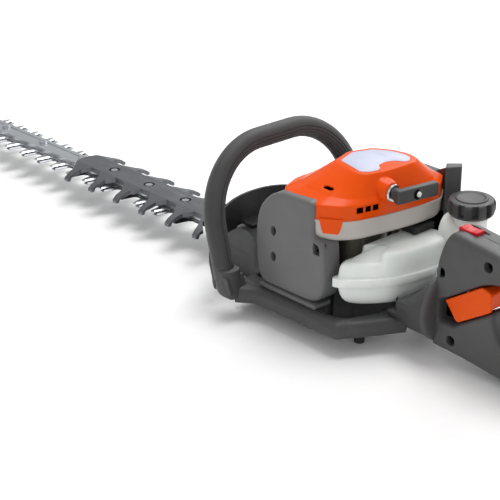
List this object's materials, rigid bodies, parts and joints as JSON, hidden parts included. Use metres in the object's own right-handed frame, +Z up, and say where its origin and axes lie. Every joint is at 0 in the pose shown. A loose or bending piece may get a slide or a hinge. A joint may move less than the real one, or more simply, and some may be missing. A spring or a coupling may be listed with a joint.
{
  "type": "hedge trimmer",
  "caption": "Petrol hedge trimmer with a double-sided reciprocating blade, finger guard, front loop handle and a turning rear handle.",
  "frame": {"origin": "on the ground under the vertical crankshaft, on the flat underside of the gear case", "axes": "+X forward along the blade to its tip, +Y to the operator's left, +Z up"},
  "size_m": [1.2095, 0.257, 0.196],
  "materials": {
    "satin_steel": "satin ground",
    "blade_steel": "ground spring steel",
    "dark_steel": "machined",
    "bright_bolts": "bright",
    "case_alloy": "dark painted casting",
    "dark_screws": "blackened",
    "raw_alloy": "cast",
    "black_rubber": "matt",
    "light_grey_plastic": "fine grain",
    "orange_plastic": "gloss",
    "label_film": "blank film",
    "dark_plastic": "fine grain",
    "rope": "braided",
    "mid_grey_plastic": "fine grain",
    "foam": "open foam",
    "tank_plastic": "translucent blow moulding",
    "grip_rubber": "ribbed soft grip",
    "red_plastic": "gloss"
  },
  "bodies": {
    "main_unit": {"guide_bar": "satin_steel", "blade_guard": "blade_steel", "guard_bolts": "bright_bolts", "bar_bolts": "bright_bolts", "bar_nuts": "bright_bolts", "gear_case_upper": "case_alloy", "gear_case_lower": "case_alloy", "gear_case_screws": "dark_screws", "gear_axle": "dark_steel", "pinion_bearing": "bright_bolts", "crankcase": "raw_alloy", "crank_bearings": "bright_bolts", "cylinder": "raw_alloy", "spark_plug": "bright_bolts", "spark_plug_cap": "black_rubber", "fan_housing": "light_grey_plastic", "starter_cover": "orange_plastic", "name_plate": "label_film", "rope_guide": "bright_bolts", "pulley_screw": "dark_screws", "muffler": "dark_steel", "muffler_cover": "mid_grey_plastic", "cover_screw": "dark_screws", "carburettor": "raw_alloy", "air_filter_cover": "dark_plastic", "air_filter_element": "foam", "intake_plate": "dark_plastic", "fuel_tank": "tank_plastic", "base_frame": "dark_plastic", "frame_feet": "black_rubber", "front_handle": "dark_steel", "front_handle_grip": "grip_rubber", "hand_guard": "dark_plastic"},
    "upper_blade": {"upper_blade": "blade_steel", "upper_link": "dark_steel"},
    "lower_blade": {"lower_blade": "blade_steel", "lower_link": "dark_steel"},
    "drive_gear": {"drive_gear": "dark_steel"},
    "clutch_drum": {"clutch_drum": "dark_steel"},
    "crankshaft": {"crankshaft": "dark_steel", "clutch_shoes": "dark_steel", "flywheel": "raw_alloy"},
    "piston": {"piston": "raw_alloy", "piston_rod": "dark_steel"},
    "starter_pulley": {"starter_pulley": "dark_plastic"},
    "starter_grip": {"starter_grip": "dark_plastic", "rope_knot": "rope"},
    "rear_handle": {"rear_handle_left": "dark_plastic", "rear_handle_right": "dark_plastic", "handle_screws": "dark_screws", "swivel_tube": "dark_steel", "trigger_pin": "dark_steel"},
    "lock_lever": {"lock_lever": "orange_plastic"},
    "throttle_trigger": {"throttle_trigger": "orange_plastic"},
    "throttle_lockout": {"throttle_lockout": "dark_plastic"},
    "stop_switch": {"stop_switch": "red_plastic"},
    "fuel_cap": {"fuel_cap": "dark_plastic"},
    "choke_lever": {"choke_lever": "orange_plastic"},
    "primer_bulb": {"primer_bulb": "black_rubber"},
    "filter_knob": {"filter_knob": "dark_plastic"}
  },
  "joints": [
    {"name": "blade_stroke", "type": "slide", "parent": "main_unit", "child": "upper_blade", "axis": [1, 0, 0], "range_m": [-0.009, 0.009]},
    {"name": "lower_blade_stroke", "type": "slide", "parent": "main_unit", "child": "lower_blade", "axis": [1, 0, 0], "range_m": [-0.009, 0.009]},
    {"name": "gear_spin", "type": "hinge", "parent": "main_unit", "child": "drive_gear", "pos_m": [0.048, 0, 0.046], "axis": [0, 0, 1], "continuous": true},
    {"name": "pinion_spin", "type": "hinge", "parent": "main_unit", "child": "clutch_drum", "pos_m": [0, 0, 0.046], "axis": [0, 0, 1], "continuous": true},
    {"name": "crank_spin", "type": "hinge", "parent": "main_unit", "child": "crankshaft", "pos_m": [0, 0, 0.092], "axis": [0, 0, 1], "continuous": true},
    {"name": "piston_stroke", "type": "slide", "parent": "main_unit", "child": "piston", "axis": [1, 0, 0], "range_m": [-0.014, 0.014]},
    {"name": "starter_pull", "type": "slide", "parent": "main_unit", "child": "starter_grip", "axis": [-1, 0, 0], "range_m": [0, 0.6], "stiffness_N_per_m": 8, "springref_m": -0.3},
    {"name": "pulley_spin", "type": "hinge", "parent": "main_unit", "child": "starter_pulley", "pos_m": [0, 0, 0.158], "axis": [0, 0, 1], "range_deg": [0, 1440]},
    {"name": "handle_turn", "type": "hinge", "parent": "main_unit", "child": "rear_handle", "pos_m": [-0.135, 0, 0.057], "axis": [1, 0, 0], "range_deg": [-90, 90]},
    {"name": "lock_slide", "type": "slide", "parent": "rear_handle", "child": "lock_lever", "axis": [0.8387, 0, -0.5446], "range_m": [0, 0.008], "stiffness_N_per_m": 300, "springref_m": -0.01},
    {"name": "throttle_pull", "type": "hinge", "parent": "rear_handle", "child": "throttle_trigger", "pos_m": [-0.216, 0, 0.113], "axis": [0, 1, 0], "range_deg": [0, 12], "stiffness_Nm_per_rad": 0.3, "springref_deg": -11.46},
    {"name": "lockout_press", "type": "hinge", "parent": "rear_handle", "child": "throttle_lockout", "pos_m": [-0.286, 0, 0.134], "axis": [0, 1, 0], "range_deg": [0, 6], "stiffness_Nm_per_rad": 0.4, "springref_deg": -8.59},
    {"name": "switch_rock", "type": "hinge", "parent": "rear_handle", "child": "stop_switch", "pos_m": [-0.167, 0, 0.149], "axis": [0, 1, 0], "range_deg": [0, 7]},
    {"name": "cap_turn", "type": "hinge", "parent": "main_unit", "child": "fuel_cap", "pos_m": [-0.107, -0.07, 0.138], "axis": [0, 0, 1], "range_deg": [0, 720]},
    {"name": "choke_turn", "type": "hinge", "parent": "main_unit", "child": "choke_lever", "pos_m": [-0.05, -0.104, 0.105], "axis": [0, 0, 1], "range_deg": [0, 50]},
    {"name": "primer_press", "type": "slide", "parent": "main_unit", "child": "primer_bulb", "axis": [-1, 0, 0], "range_m": [0, 0.004], "stiffness_N_per_m": 400, "springref_m": -0.002},
    {"name": "knob_turn", "type": "hinge", "parent": "main_unit", "child": "filter_knob", "pos_m": [-0.026, -0.1225, 0.147], "axis": [0, 1, 0], "range_deg": [0, 720]}
  ],
  "couplings": [
    {"joint": "lower_blade_stroke", "follows": "blade_stroke", "ratio": -1},
    {"joint": "pinion_spin", "follows": "gear_spin", "ratio": -4.3333},
    {"joint": "pulley_spin", "follows": "starter_pull", "rad_per_m": 41.667}
  ]
}
